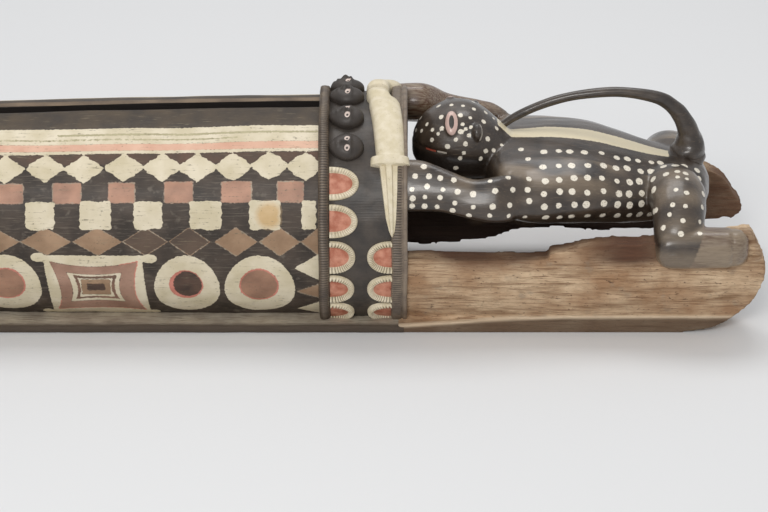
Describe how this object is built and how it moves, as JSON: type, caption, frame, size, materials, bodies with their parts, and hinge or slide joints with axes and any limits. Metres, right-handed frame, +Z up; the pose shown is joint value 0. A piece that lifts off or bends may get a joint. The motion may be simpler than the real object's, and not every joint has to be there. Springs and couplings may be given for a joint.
{
  "type": "carved slit drum",
  "caption": "Great slit drum hollowed from one log, with painted bands, carved collars and a spotted leopard stretched over the open trough at its end",
  "frame": {"origin": "under the middle of the box the drum fills, on the plane it rests on", "axes": "+X along the log towards the leopard's tail and the open trough, +Y to the side turned from the viewer, +Z up"},
  "size_m": [3.31, 0.8568, 0.7353],
  "materials": {
    "painted_iroko": "old painted and weathered wood, satin"
  },
  "bodies": {
    "root": {"carved_drum": "painted_iroko"}
  },
  "joints": []
}
